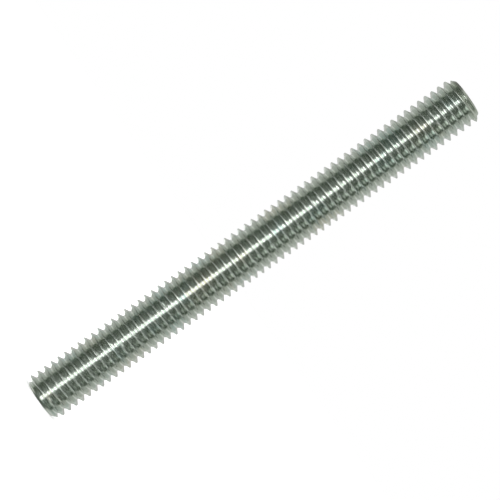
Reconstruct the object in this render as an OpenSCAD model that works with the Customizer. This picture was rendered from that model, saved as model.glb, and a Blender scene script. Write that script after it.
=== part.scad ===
// Threaded rod: a length of steel bar with a right-hand metric thread rolled along
// the whole of it, both ends cut flat and chamfered.
// It stands on one end, with its axis on Z and the middle of that end at the origin.

/* [Rod] */
// Length from end to end
rod_length = 80; // [20:1:96]
// Nominal diameter of the thread
nominal_d = 8; // [6.5:0.1:10]
// How much smaller than nominal the thread is, measured across the rod, so that a nut runs freely
running_allowance = 0.13; // [0:0.01:0.3]

/* [Thread] */
// Distance from one crest to the next
pitch = 1.25; // [1:0.05:1.75]
// Angle between the two sides of the groove
groove_angle = 60; // [50:1:70]
// Share of the sharp thread's height that the flat crest leaves off
crest_cut = 0.125; // [0.08:0.005:0.2]
// Share of the sharp thread's height that is filled in at the bottom of the groove
root_fill = 0.165; // [0.1:0.005:0.25]
// Direction in which the crest leaves the lower end, as an angle from +X
thread_start = 242; // [0:1:359]

/* [Ends] */
// How far below the bottom of the groove the chamfer meets the flat end
chamfer_below_groove = 0.17; // [0.05:0.01:0.6]
// Slope of the chamfer, measured from the rod's axis
chamfer_angle = 45; // [30:1:60]

/* [Facets] */
// Facets in one turn of each side of the thread
facets_per_turn = 20; // [12:1:20]

/* [Hidden] */

// Height of the V that the two sides of the thread would make if they met at sharp points
sharp_height = pitch / 2 / tan(groove_angle / 2);
crest_r = (nominal_d - running_allowance) / 2;
groove_r = crest_r - sharp_height * (1 - crest_cut - root_fill);

// The corners of the facets stand a little outside the true helix, so that the facets
// enclose as much steel as its curve does
corner_out = sqrt(2 * PI / facets_per_turn / sin(360 / facets_per_turn));
sharp_crest_r = (crest_r + sharp_height * crest_cut) * corner_out;
sharp_groove_r = (groove_r - sharp_height * root_fill) * corner_out;

end_r = groove_r - chamfer_below_groove;
chamfer_length = (crest_r - end_r) / tan(chamfer_angle);

// Turns of thread made beyond each end, for the ends to cut off
spare_turns = 2;
cylinder_facets = 120;

// A point of a helix that climbs one pitch a turn, shifted along the axis
function on_helix(r, turn, shift = 0) =
  let (angle = 360 * turn + thread_start)
  [r * cos(angle), r * sin(angle), pitch * turn + shift];

// The bar to the outside of the crests, with its end faces and chamfers
module chamfered_bar() {
  rotate_extrude($fn = cylinder_facets)
    polygon([
      [0, 0],
      [end_r, 0],
      [crest_r, chamfer_length],
      [crest_r, rod_length - chamfer_length],
      [end_r, rod_length],
      [0, rod_length]
    ]);
}

// The steel inside the bottom of the groove
module core() {
  cylinder(r = groove_r, h = rod_length, $fn = cylinder_facets);
}

// The thread with sharp crests and grooves, and more of it than the rod's length.
// One line runs along the groove and one along the crest, half a pitch above it. A strip
// of facets joins them, and a second one joins the crest to the groove's next turn.
module sharp_thread() {
  turns = ceil(rod_length / pitch) + 2 * spare_turns;
  steps = turns * facets_per_turn;
  last = steps - facets_per_turn;
  groove = [for (i = [0 : steps])
    on_helix(sharp_groove_r, i / facets_per_turn - spare_turns, -pitch / 2)];
  crest = [for (i = [0 : last])
    on_helix(sharp_crest_r, i / facets_per_turn - spare_turns)];
  tips = [for (z = [groove[0].z - pitch, groove[steps].z + pitch]) [0, 0, z]];

  // Where the crest line and the two tips start in the list of all points
  c = len(groove);
  low = c + len(crest);
  high = low + 1;
  up = facets_per_turn;
  rising = [for (i = [0 : last - 1]) each [[i, c + i, c + i + 1], [i, c + i + 1, i + 1]]];
  falling = [for (i = [0 : last - 1])
    each [[c + i, i + up, i + up + 1], [c + i, i + up + 1, c + i + 1]]];
  low_end = [for (i = [0 : up - 1]) [low, i, i + 1], [low, up, c], [low, c, 0]];
  high_end = [for (i = [last : steps - 1]) [high, i + 1, i],
    [high, c + last, steps], [high, last, c + last]];
  polyhedron(concat(groove, crest, tips), concat(rising, falling, low_end, high_end), convexity = 10);
}

module threaded_rod() {
  color([0.72, 0.74, 0.72])
    intersection() {
      chamfered_bar();
      union() {
        core();
        sharp_thread();
      }
    }
}

threaded_rod();
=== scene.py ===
import math

import bpy
from mathutils import Matrix, Vector


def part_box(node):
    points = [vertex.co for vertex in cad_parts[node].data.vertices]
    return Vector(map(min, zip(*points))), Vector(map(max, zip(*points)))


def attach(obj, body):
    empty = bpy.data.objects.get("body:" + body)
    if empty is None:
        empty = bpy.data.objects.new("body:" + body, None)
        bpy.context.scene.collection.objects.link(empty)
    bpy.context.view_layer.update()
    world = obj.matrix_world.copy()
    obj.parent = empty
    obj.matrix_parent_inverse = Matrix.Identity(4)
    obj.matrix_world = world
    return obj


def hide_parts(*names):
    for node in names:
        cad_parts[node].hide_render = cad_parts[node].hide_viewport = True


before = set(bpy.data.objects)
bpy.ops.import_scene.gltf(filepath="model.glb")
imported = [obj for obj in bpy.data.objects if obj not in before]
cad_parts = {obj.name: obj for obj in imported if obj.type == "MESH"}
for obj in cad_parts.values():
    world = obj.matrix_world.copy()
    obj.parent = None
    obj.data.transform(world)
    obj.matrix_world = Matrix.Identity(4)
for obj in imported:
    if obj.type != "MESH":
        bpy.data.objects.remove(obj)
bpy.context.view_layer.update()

mm = 0.001

pitch = 1.25 * mm
crest_radius = 3.933 * mm
groove_radius = 3.166 * mm
crest_flat = pitch / 8
groove_angle = math.radians(61)
thread_start = math.radians(242)
end_radius = 2.996 * mm
groove_rounding = 0.03 * mm
facets_in_a_turn = 80
rod_foot, rod_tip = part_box("threaded_rod")
rod_length = rod_tip[2] - rod_foot[2]


class Line:
    """One value, colour or shape on its way through a node tree.

    A sign between two values adds a Math node.
    """

    def __init__(self, tree, end=None):
        self.tree = tree
        self.end = end

    def add(self, kind, settings=None, sockets=None, out=0):
        """Any node: its type, its settings, what its sockets take, and which output goes on."""
        node = self.tree.nodes.new(kind)
        for name, value in (settings or {}).items():
            setattr(node, name, value)
        for name, value in (sockets or {}).items():
            for one in value if isinstance(value, list) else [value]:
                if isinstance(one, Line):
                    self.tree.links.new(one.end, node.inputs[name])
                else:
                    node.inputs[name].default_value = one
        return Line(self.tree, node.outputs[out] if len(node.outputs) else None)

    def __getitem__(self, name):
        return Line(self.tree, self.end.node.outputs[name])

    def math(self, operation, *others):
        return self.add("ShaderNodeMath", {"operation": operation}, dict(enumerate([self, *others])))

    def ramp(self, low, high):
        """0 at low, 1 at high and smooth between them. Low may be the greater of the two."""
        return self.add("ShaderNodeMapRange", {"interpolation_type": "SMOOTHSTEP"},
                        {"Value": self, "From Min": low, "From Max": high}, "Result")

    def blend(self, first, second):
        """The first colour where this value is 0, the second where it is 1."""
        return self.add("ShaderNodeMix", {"data_type": "RGBA"}, {"Factor": self, 6: first, 7: second}, 2)

    def __add__(self, other):
        return self.math("ADD", other)

    def __sub__(self, other):
        return self.math("SUBTRACT", other)

    def __mul__(self, other):
        return self.math("MULTIPLY", other)

    def __truediv__(self, other):
        return self.math("DIVIDE", other)

    def __gt__(self, other):
        return self.math("GREATER_THAN", other)

    def __lt__(self, other):
        return self.math("LESS_THAN", other)

    def __abs__(self):
        return self.math("ABSOLUTE")

    def __radd__(self, other):
        return self * 1 + other

    def __rmul__(self, other):
        return self * other

    def __rsub__(self, other):
        return self * -1 + other


# The thread as a tree of steps: the outline of one turn of the thread, the strip that it
# sweeps as it climbs round the bar, and the two ends that are cut from it.
rolling = bpy.data.node_groups.new("rolled_thread", "GeometryNodeTree")
thread_sizes = {
    "Length": rod_length,
    "Pitch": pitch,
    "Crest Radius": crest_radius,
    "Groove Radius": groove_radius,
    "Crest Flat": crest_flat,
    "Knocks": 0.05 * mm,
    "Groove Rounding": groove_rounding,
    "Beside Rounds": 0.012 * mm,
    "Groove Angle": groove_angle,
    "Thread Start": thread_start,
    "End Radius": end_radius,
    "Facets in a Turn": facets_in_a_turn,
    "Seed": 7,
}
size_ids = {}
for name, value in thread_sizes.items():
    kind = "NodeSocketInt" if isinstance(value, int) else "NodeSocketFloat"
    size_ids[name] = rolling.interface.new_socket(name, in_out="INPUT", socket_type=kind).identifier
plating_socket = rolling.interface.new_socket("Plating", in_out="INPUT", socket_type="NodeSocketMaterial")
rolling.interface.new_socket("Rod", in_out="OUTPUT", socket_type="NodeSocketGeometry")

step = Line(rolling)
given = step.add("NodeGroupInput")
length = given["Length"]
lead = given["Pitch"]
crest_r = given["Crest Radius"]
groove_r = given["Groove Radius"]
flat = given["Crest Flat"]
knock_depth = given["Knocks"]
groove_round = given["Groove Rounding"]
beside = given["Beside Rounds"]
vee = given["Groove Angle"]
start = given["Thread Start"]
end_r = given["End Radius"]
facets = given["Facets in a Turn"]
seed = given["Seed"]


def point_at(x, z):
    return step.add("ShaderNodeCombineXYZ", {}, {"X": x, "Z": z})


def welded(shape):
    return step.add("GeometryNodeMergeByDistance", {}, {"Geometry": shape, "Distance": 0.002 * mm})


# Ten corners, from the bottom of one groove over the crest to the bottom of the next.
# Counted from the crest they are its edge, a point just down the flank, one just above its
# foot, the foot and the middle of the groove. The two points keep the flank flat between rounds.
corner_count = 10
crest_middle = (corner_count - 1) / 2
index = step.add("GeometryNodeInputIndex")
corner = abs(index - crest_middle)
depth = crest_r - groove_r
flank = depth * (vee * 0.5).math("TANGENT")
flank_face = depth / (vee * 0.5).math("COSINE")
groove_half = lead * 0.5 - flat * 0.5 - flank
# The rolled crest is round from flank to flank. The groove has a flat bottom with small rounds
turned = (vee * -0.25 + math.pi / 4).math("TANGENT")
rounding = (corner < 1) * flat * 0.5 / turned + (corner > 3) * groove_round
past_crest = (flat * 0.5 + beside) / flank_face
past_foot = (groove_round * turned + beside) / flank_face
between = 1 - past_crest - past_foot
down_flank = (corner > 1) * past_crest + (corner > 2) * between + (corner > 3) * past_foot
from_middle = flat * 0.5 + down_flank * flank + (corner > 4) * groove_half
outline_x = crest_r - down_flank * depth
outline_z = lead * 0.5 + (index - crest_middle).math("SIGN") * from_middle
corners = step.add("GeometryNodeMeshLine", {}, {"Count": corner_count})
corners = step.add("GeometryNodeSetPosition", {},
                   {"Geometry": corners, "Position": point_at(outline_x, outline_z)})
outline = step.add("GeometryNodeMeshToCurve", {}, {"Mesh": corners})
outline = step.add("GeometryNodeFilletCurve", {"mode": "POLY"}, {
    "Curve": outline, "Count": 3 - (corner > 3), "Radius": rounding, "Limit Radius": True})
outline = welded(step.add("GeometryNodeCurveToMesh", {}, {"Curve": outline}))
rows = step.add("GeometryNodeAttributeDomainSize", {"component": "MESH"},
                {"Geometry": outline}, "Point Count")

# The strip: a sheet of vertices whose rows follow the outline and whose columns climb the rod.
# It starts below the lower end and runs past the upper one.
spare_turns = 3
turns_below = 2.5
turns = (length / lead).math("CEIL") + spare_turns
strip = step.add("GeometryNodeMeshGrid", {},
                 {"Vertices X": turns * facets + 1, "Vertices Y": rows}, "Mesh")
column = (index / rows).math("FLOOR")
position = step.add("GeometryNodeInputPosition")
on_outline = step.add("GeometryNodeSampleIndex", {"data_type": "FLOAT_VECTOR", "domain": "POINT"},
                      {"Geometry": outline, "Value": position, "Index": index - column * rows})
radius = step.add("ShaderNodeSeparateXYZ", {}, {0: on_outline}, "X")
across = step.add("ShaderNodeSeparateXYZ", {}, {0: on_outline}, "Z")
angle = column / facets * math.tau + start
climb = lead * (column / facets - turns_below) + across
# Small knocks flatten the crest here and there, where rods have rubbed together in their box
bruises_in_a_metre = 900.0
bruised_above = 0.56
bruise_edge = 9
bruised_zone = 0.12 * mm
where = step.add("ShaderNodeCombineXYZ", {}, {"X": angle * crest_radius, "Y": climb, "Z": seed})
bruise = step.add("ShaderNodeTexNoise", {"noise_dimensions": "3D"},
                  {"Vector": where, "Scale": bruises_in_a_metre, "Detail": 2.0}, "Fac")
bruise = ((bruise - bruised_above) * bruise_edge).math("MAXIMUM", 0).math("MINIMUM", 1)
near_crest = ((radius - crest_r) / bruised_zone + 1).math("MAXIMUM", 0)
radius = radius - bruise * near_crest * knock_depth
swept = step.add("ShaderNodeCombineXYZ", {}, {
    "X": radius * angle.math("COSINE"), "Y": radius * angle.math("SINE"), "Z": climb})
strip = welded(step.add("GeometryNodeSetPosition", {}, {"Geometry": strip, "Position": swept}))

# The strip's two open rims are drawn to points on the axis, beyond the rod's ends
turns_beyond = 4
rim = step.add("GeometryNodeInputMeshEdgeNeighbors") < 1.5
lids = step.add("GeometryNodeExtrudeMesh", {"mode": "EDGES"},
                {"Mesh": strip, "Selection": rim, "Offset Scale": 0.0}, "Mesh")
upper = step.add("ShaderNodeSeparateXYZ", {}, {0: position}, "Z") > length * 0.5
tip = upper * (length + lead * (2 * turns_beyond)) - lead * turns_beyond
blank = welded(step.add("GeometryNodeSetPosition", {},
                        {"Geometry": lids, "Selection": lids["Top"], "Position": point_at(0.0, tip)}))

# Both ends are cut square and turned to a 45 degree chamfer, by two cones that point inwards
chamfer = step.add("GeometryNodeMeshCone", {"fill_type": "NGON"}, {
    "Vertices": 3 * facets_in_a_turn, "Side Segments": 1, "Fill Segments": 1,
    "Radius Bottom": end_r, "Radius Top": end_r + length, "Depth": length}, "Mesh")
other_chamfer = step.add("GeometryNodeTransform", {}, {
    "Geometry": chamfer, "Translation": point_at(0.0, length), "Rotation": (math.pi, 0, 0)})
cut = step.add("GeometryNodeMeshBoolean", {"operation": "INTERSECT", "solver": "MANIFOLD"},
               {"Mesh 2": [blank, chamfer, other_chamfer]})
cut = step.add("GeometryNodeSetShadeSmooth", {"domain": "FACE"}, {"Geometry": cut, "Shade Smooth": True})
hard = step.add("GeometryNodeInputMeshEdgeAngle") > math.radians(40)
cut = step.add("GeometryNodeSetShadeSmooth", {"domain": "EDGE"},
               {"Geometry": cut, "Selection": hard, "Shade Smooth": False})
cut = step.add("GeometryNodeRealizeInstances", {}, {"Geometry": cut})
cut = step.add("GeometryNodeSetMaterial", {}, {"Geometry": cut, "Material": given["Plating"]})
step.add("NodeGroupOutput", {}, {0: cut})

# Bright zinc: pale, slightly green, with a thin clear passivate that turns straw and blue in
# patches. The rolls leave fine streaks along the thread and burnish the bottom of the groove, which
# also carries a painted sheen. The tool leaves rings on the chamfers, and the saw lines across the ends.
plating = bpy.data.materials.new("bright_zinc_plating")
plating.use_nodes = True
plating.node_tree.nodes.clear()
coat = Line(plating.node_tree)
spot = coat.add("ShaderNodeTexCoord", {}, {}, "Object")
split = coat.add("ShaderNodeSeparateXYZ", {}, {0: spot})
x = split["X"]
y = split["Y"]
z = split["Z"]
from_axis = (x * x + y * y).math("SQRT")
round_bar = y.math("ARCTAN2", x) / math.tau

# Place in the thread: turn_part runs from 0 at the bottom of one groove to 1 at the next, with
# the crest at a half, and thread_run counts the turns along the thread without a break
turn_count = z / pitch - round_bar + (thread_start / math.tau + 0.5)
turn_part = turn_count.math("FRACT")
thread_run = turn_count.math("FLOOR") + round_bar
from_crest = abs(turn_part - 0.5)


def speckle(vector, scale, detail=2.0, roughness=0.5):
    return coat.add("ShaderNodeTexNoise", {"noise_dimensions": "3D"},
                    {"Vector": vector, "Scale": scale, "Detail": detail, "Roughness": roughness}, "Fac")


def stretched(vector, in_x, in_y, in_z):
    return coat.add("ShaderNodeVectorMath", {"operation": "MULTIPLY"}, {0: vector, 1: (in_x, in_y, in_z)})


in_thread = coat.add("ShaderNodeCombineXYZ", {}, {"X": thread_run, "Y": turn_part, "Z": from_axis / mm})
streaks = speckle(stretched(in_thread, 9, 11, 6), 1.0, detail=3.0, roughness=0.6)
ripples = speckle(stretched(in_thread, 34, 2.5, 3), 1.0)
straw_clouds = speckle(spot, 170)
blue_clouds = speckle(spot, 240)
grains = speckle(spot, 2600, detail=3.0, roughness=0.6)
fine = speckle(spot, 900)

face_margin = 0.01 * mm
chamfer_margin = 0.012 * mm
on_end = (z < face_margin) + (z > rod_length - face_margin)
from_end = z.math("MINIMUM", rod_length - z)
on_chamfer = (abs(from_axis - end_radius - from_end) < chamfer_margin) * (1 - on_end)
ring_spacing = 0.36 * mm
rings = (from_end * (math.tau / ring_spacing) + fine * 3).math("SINE")
# The tool that cut the upper chamfer has dragged metal across the last groove
drag_begins = rod_length - 1.5 * mm
drag_is_full = rod_length - 1.1 * mm
dragged = z.ramp(drag_begins, drag_is_full) * (1 - on_end)
saw_lines = speckle(stretched(spot, 260, 2300, 260), 1.0, detail=3.0, roughness=0.6)

pale = (0.765, 0.797, 0.763, 1)
straw = (0.80, 0.79, 0.73, 1)
bluish = (0.72, 0.80, 0.79, 1)
streak_grey = (0.66, 0.69, 0.65, 1)
burnish_and_sheen = (0.92, 0.95, 0.91, 1)
tooled_grey = (0.63, 0.67, 0.60, 1)
sawn_grey = (0.51, 0.53, 0.50, 1)
colour = straw_clouds.ramp(0.50, 0.72).blend(pale, straw)
colour = (blue_clouds.ramp(0.50, 0.70) * 0.7).blend(colour, bluish)
colour = (streaks.ramp(0.45, 0.75) * 0.25).blend(colour, streak_grey)
# The groove bottom is lighter: burnish from the rolls, and a painted sheen that draws pale lines along it
colour = (from_crest.ramp(0.41, 0.435) * 0.3).blend(colour, burnish_and_sheen)
colour = (on_chamfer * 0.2).math("MAXIMUM", dragged * 0.8).blend(colour, tooled_grey)
colour = (on_end * (0.2 + saw_lines.ramp(0.38, 0.62) * 0.6)).blend(colour, sawn_grey)

dullness = (0.13 + streaks.ramp(0.35, 0.75) * 0.05 + grains.ramp(0.5, 0.8) * 0.04
            + from_crest.ramp(0.42, 0.5) * 0.02 + on_chamfer * 0.07 + dragged * 0.12 + on_end * 0.16)

height = (ripples * (0.006 * mm) + streaks * (0.002 * mm) + fine * (0.0015 * mm)
          + (on_chamfer + dragged) * rings * (0.004 * mm) + on_end * saw_lines * (0.05 * mm))
tilt = coat.add("ShaderNodeBump", {}, {"Height": height, "Strength": 1.0, "Distance": 1.0})
shine = coat.add("ShaderNodeBsdfPrincipled", {}, {
    "Base Color": colour, "Metallic": 1.0, "Roughness": dullness, "Normal": tilt})
coat.add("ShaderNodeOutputMaterial", {}, {"Surface": shine})

bar = bpy.data.objects.new("rod_blank", bpy.data.meshes.new("rod_blank"))
bpy.context.scene.collection.objects.link(bar)
rolls = bar.modifiers.new("rolls", "NODES")
rolls.node_group = rolling
for name, value in thread_sizes.items():
    rolls[size_ids[name]] = value
rolls[plating_socket.identifier] = plating
rolled = bpy.data.meshes.new_from_object(bar.evaluated_get(bpy.context.evaluated_depsgraph_get()))
bpy.data.objects.remove(bar)
rod = bpy.data.objects.new("plated_rod", rolled)
bpy.context.scene.collection.objects.link(rod)
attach(rod, "root")
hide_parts("threaded_rod")

# ---------------------------------------------------------------------------
# The table and the studio. A matt white table runs into white paper all round. It glows a
# little, which brings it to plain white, and it keeps the rod's soft shadow. The plating
# shows the room in its place.
# ---------------------------------------------------------------------------
studio = bpy.data.worlds.new("white_paper")
bpy.context.scene.world = studio
studio.use_nodes = True
studio.node_tree.nodes.clear()
paper = Line(studio.node_tree)
white_paper = paper.add("ShaderNodeBackground", {}, {"Color": (1, 1, 1, 1), "Strength": 1.0})
paper.add("ShaderNodeOutputWorld", {}, {"Surface": white_paper})

bpy.ops.mesh.primitive_plane_add(size=7)
table = bpy.context.object
table.name = "table"
white = bpy.data.materials.new("white_table")
white.use_nodes = True
white.node_tree.nodes.clear()
top = Line(white.node_tree)
table_glow = 0.42
ray = top.add("ShaderNodeLightPath")
seen = ray["Is Camera Ray"].math("MAXIMUM", ray["Is Glossy Ray"])
seen = seen.math("MAXIMUM", ray["Is Transmission Ray"])
matt = top.add("ShaderNodeBsdfDiffuse", {}, {"Color": (0.85, 0.85, 0.85, 1)})
glow = top.add("ShaderNodeEmission", {}, {"Color": (1, 1, 1, 1), "Strength": seen * table_glow})
both = top.add("ShaderNodeAddShader", {}, {0: matt, 1: glow})
top.add("ShaderNodeOutputMaterial", {}, {"Surface": both})
table.data.materials.append(white)
table.visible_glossy = False

# ---------------------------------------------------------------------------
# The room, as the plating shows it: a big ball of paper and dim wall round the rod. The
# viewer's half is dim, so that the highlights stand out. Behind the rod it is pale paper, in
# the rod's own shade in the middle. Only reflections see it.
# ---------------------------------------------------------------------------
import bmesh

room_radius = 1.2
middle_of_rod = Vector((0, 0, rod_length / 2))
shell = bmesh.new()
bmesh.ops.create_uvsphere(shell, u_segments=72, v_segments=36, radius=room_radius)
bmesh.ops.translate(shell, verts=shell.verts, vec=middle_of_rod)
room_mesh = bpy.data.meshes.new("room")
shell.to_mesh(room_mesh)
shell.free()
room = bpy.data.objects.new("room", room_mesh)
bpy.context.scene.collection.objects.link(room)
room.visible_camera = False
room.visible_diffuse = False
room.visible_shadow = False
room.visible_transmission = False
room.visible_volume_scatter = False
walls = bpy.data.materials.new("room_walls")
walls.use_nodes = True
walls.node_tree.nodes.clear()
wall = Line(walls.node_tree)
place = wall.add("ShaderNodeTexCoord", {}, {}, "Object")
place = wall.add("ShaderNodeVectorMath", {"operation": "SUBTRACT"}, {0: place, 1: middle_of_rod})
direction = wall.add("ShaderNodeVectorMath", {"operation": "NORMALIZE"}, {0: place})
split = wall.add("ShaderNodeSeparateXYZ", {}, {0: direction})
side = split["X"]
ahead = split["Y"]
high = split["Z"]


def away_from_rod(turn, height):
    """A direction out from the rod: turned from the viewer towards -X, and raised, in degrees."""
    turn = math.radians(turn)
    height = math.radians(height)
    outwards = math.cos(height)
    return Vector((-outwards * math.sin(turn), -outwards * math.cos(turn), math.sin(height)))


def patch(turn, height, edge, heart):
    """A round patch of the wall: 1 within heart degrees of its middle, 0 past edge degrees."""
    toward = wall.add("ShaderNodeVectorMath", {"operation": "DOT_PRODUCT"},
                      {0: direction, 1: away_from_rod(turn, height)}, "Value")
    return toward.ramp(math.cos(math.radians(edge)), math.cos(math.radians(heart)))


# The viewer's half of the room is dim, and a little less so at the height of the rod. The
# crests alone show what is half way up and half way down, so a pale band there lights them,
# and it keeps clear of what the grooves show. It is brightest below, in line with the lamp.
steep = high * high
band = steep.ramp(0.19, 0.28) * (1 - (steep + side * side * 0.4).ramp(0.50, 0.60))
beside_lamp = abs(side + 0.17).ramp(0.34, 0.10)
high_shade = beside_lamp.blend((0.60, 0.63, 0.60, 1), (0.85, 0.88, 0.85, 1))
low_shade = beside_lamp.blend((1.75, 1.81, 1.75, 1), (4.6, 4.75, 4.6, 1))
band_shade = high.ramp(-0.2, 0.2).blend(low_shade, high_shade)
level = abs(high + 0.02).ramp(0.13, 0.04)
dim = level.blend((0.055, 0.070, 0.052, 1), (0.150, 0.175, 0.140, 1))
shade = band.blend(dim, band_shade)
# A soft glow of the lamp on the wall round it
lamp_glow = patch(turn=15, height=-5, edge=44, heart=8) * (0.36 + level * 0.28)
shade = lamp_glow.blend(shade, (0.30, 0.33, 0.30, 1))
# Two pale things well to the right of the viewer show in the right side of the grooves
pale_thing = patch(turn=-56, height=13, edge=16, heart=8)
shade = pale_thing.blend(shade, (0.46, 0.52, 0.45, 1))
paler_thing = patch(turn=-59, height=49, edge=14, heart=7)
shade = paler_thing.blend(shade, (1.1, 1.2, 1.1, 1))
# Two pale spots below the lamp carry its bright line on across both flanks of each groove
under_lamp = patch(turn=5, height=-17, edge=14, heart=8)
shade = under_lamp.blend(shade, (0.80, 0.83, 0.80, 1))
far_under_lamp = patch(turn=5, height=-57, edge=9, heart=3)
shade = far_under_lamp.blend(shade, (2.4, 2.48, 2.4, 1))

# The half behind the rod is pale paper, a little darker straight behind it and at its sides,
# the left side most. A dark corner high up on the left shades the upper chamfer.
near_shade = side.ramp(0.0, 0.5).blend((0.375, 0.405, 0.355, 1), (0.43, 0.46, 0.41, 1))
paper_shade = ahead.ramp(0.0, 0.7).blend(near_shade, (0.58, 0.60, 0.565, 1))
paper_shade = ahead.ramp(0.80, 0.99).blend(paper_shade, (0.48, 0.49, 0.465, 1))
dark_corner = patch(turn=138, height=50, edge=34, heart=18)
paper_shade = dark_corner.blend(paper_shade, (0.15, 0.15, 0.14, 1))
shade = ahead.ramp(-0.03, 0.03).blend(shade, paper_shade)
# A low window behind the rod draws a pale line down the rod's back
window = abs(side).ramp(0.24, 0.12) * (ahead > 0) * high.ramp(-0.17, -0.23) * high.ramp(-0.6, -0.5)
shade = window.blend(shade, (1.8, 1.83, 1.8, 1))
# The upper chamfer shows the ceiling, with a pale spot in it, and the lower one a dark floor
shade = high.ramp(0.927, 0.961).blend(shade, (0.42, 0.43, 0.39, 1))
ceiling_spot = patch(turn=100, height=76, edge=12, heart=5)
shade = ceiling_spot.blend(shade, (1.1, 1.12, 1.05, 1))
shade = (high * -1).ramp(0.866, 0.914).blend(shade, (0.12, 0.14, 0.12, 1))
pale_walls = wall.add("ShaderNodeEmission", {}, {"Color": shade, "Strength": 1.0})
wall.add("ShaderNodeOutputMaterial", {}, {"Surface": pale_walls})
room_mesh.materials.append(walls)

# ---------------------------------------------------------------------------
# The lamp. One soft box stands beside the viewer, nearly level with the middle of the rod,
# and draws the bright line along it.
# ---------------------------------------------------------------------------
light = bpy.data.lights.new("soft_box_by_viewer", "AREA")
light.shape = "ELLIPSE"
light.size = 0.35
light.size_y = 0.32
light.energy = 0.76
lamp = bpy.data.objects.new("soft_box_by_viewer", light)
bpy.context.scene.collection.objects.link(lamp)
lamp_distance = 0.9
toward_lamp = away_from_rod(turn=6.9, height=-1.2)
lamp.location = middle_of_rod + toward_lamp * lamp_distance
lamp.rotation_euler = (-toward_lamp).to_track_quat("-Z", "Y").to_euler()
lamp.visible_camera = False

# ---------------------------------------------------------------------------
# The camera. It looks level at the middle of the rod and is rolled, so that the rod rises
# from lower left to upper right.
# ---------------------------------------------------------------------------
distance = 0.40
width_in_view = 0.07647
roll = math.radians(35.37)
view = bpy.data.cameras.new("camera")
view.type = "PERSP"
view.sensor_width = 36
view.lens = view.sensor_width * distance / width_in_view
view.clip_start = 0.01
view.clip_end = 20
camera = bpy.data.objects.new("camera", view)
bpy.context.scene.collection.objects.link(camera)
eye = Vector((0, -distance, 0.0385))
target = Vector((-0.00017, 0, 0.03945))
look = (target - eye).normalized()
along_rod = (Vector((0, 0, 1)) - look * look.z).normalized()
beside_rod = look.cross(along_rod) * -1
right = along_rod * math.cos(roll) - beside_rod * math.sin(roll)
up = along_rod * math.sin(roll) + beside_rod * math.cos(roll)
camera.matrix_world = Matrix([(right[i], up[i], -look[i], eye[i]) for i in range(3)] + [(0, 0, 0, 1)])
bpy.context.scene.camera = camera
bpy.context.scene.view_settings.view_transform = "Standard"
